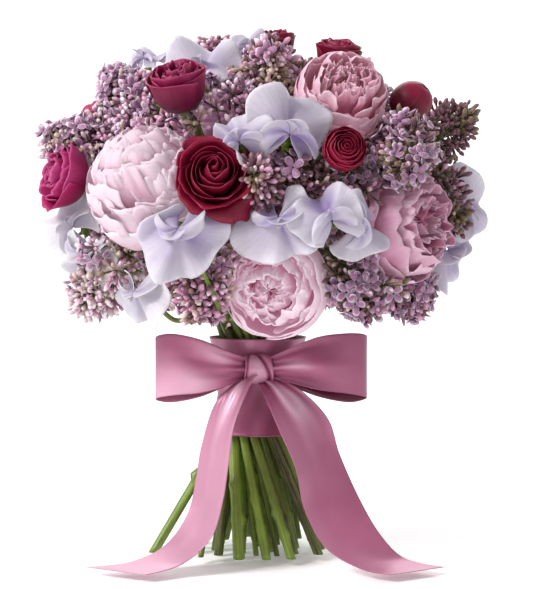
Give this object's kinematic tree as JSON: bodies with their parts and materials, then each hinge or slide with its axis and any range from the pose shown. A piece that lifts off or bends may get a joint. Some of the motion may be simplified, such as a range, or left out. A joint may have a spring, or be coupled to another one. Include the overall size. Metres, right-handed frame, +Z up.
{
  "type": "mixed flower bouquet",
  "caption": "Hand-tied bouquet of peonies, roses, lilac and sweet peas on splayed stems, bound with a wide satin ribbon tied in a bow.",
  "frame": {"origin": "on the surface that the stem ends stand on, below the middle of the bouquet's bounding box", "axes": "+Z up along the bouquet, -Y towards the front where the bow is, +X to the right seen from the front"},
  "size_m": [0.3304, 0.311, 0.3838],
  "materials": {
    "peony_blush": "soft matte petal, blush pink, nearly white outside",
    "peony_pink": "soft matte petal, clear pink",
    "peony_mauve": "soft matte petal, mauve pink",
    "rose_magenta": "velvety petal, deep magenta",
    "rose_red": "velvety petal, dark red",
    "lilac": "matte buds and small florets, mauve on green stalks",
    "sweet_pea_petal": "thin petal that lets light through, pale lavender",
    "stem_green": "fresh green stem, satin",
    "satin_ribbon": "dusty-rose satin"
  },
  "bodies": {
    "root": {"peony_1": "peony_blush", "peony_2": "peony_pink", "peony_3": "peony_mauve", "peony_4": "peony_mauve", "peony_5": "peony_mauve", "peony_6": "peony_blush", "peony_7": "peony_pink", "rose_1": "rose_magenta", "rose_2": "rose_red", "rose_3": "rose_magenta", "rose_4": "rose_red", "rose_5": "rose_red", "rose_6": "rose_red", "rose_7": "rose_red", "rose_8": "rose_magenta", "rose_9": "rose_red", "peony_stem_1": "stem_green", "peony_stem_2": "stem_green", "peony_stem_3": "stem_green", "peony_stem_4": "stem_green", "peony_stem_5": "stem_green", "peony_stem_6": "stem_green", "peony_stem_7": "stem_green", "rose_stem_1": "stem_green", "rose_stem_2": "stem_green", "rose_stem_3": "stem_green", "rose_stem_4": "stem_green", "rose_stem_5": "stem_green", "rose_stem_6": "stem_green", "rose_stem_7": "stem_green", "rose_stem_8": "stem_green", "rose_stem_9": "stem_green", "lilac_1": "lilac", "lilac_2": "lilac", "lilac_3": "lilac", "lilac_4": "lilac", "lilac_5": "lilac", "lilac_6": "lilac", "lilac_7": "lilac", "lilac_8": "lilac", "lilac_9": "lilac", "lilac_10": "lilac", "lilac_11": "lilac", "lilac_12": "lilac", "lilac_13": "lilac", "lilac_14": "lilac", "lilac_15": "lilac", "lilac_16": "lilac", "sweet_pea_1": "sweet_pea_petal", "sweet_pea_2": "sweet_pea_petal", "sweet_pea_3": "sweet_pea_petal", "sweet_pea_4": "sweet_pea_petal", "sweet_pea_5": "sweet_pea_petal", "sweet_pea_6": "sweet_pea_petal", "sweet_pea_7": "sweet_pea_petal", "sweet_pea_8": "sweet_pea_petal", "sweet_pea_9": "sweet_pea_petal", "ribbon_wrap": "satin_ribbon", "ribbon_bow": "satin_ribbon"}
  },
  "joints": []
}
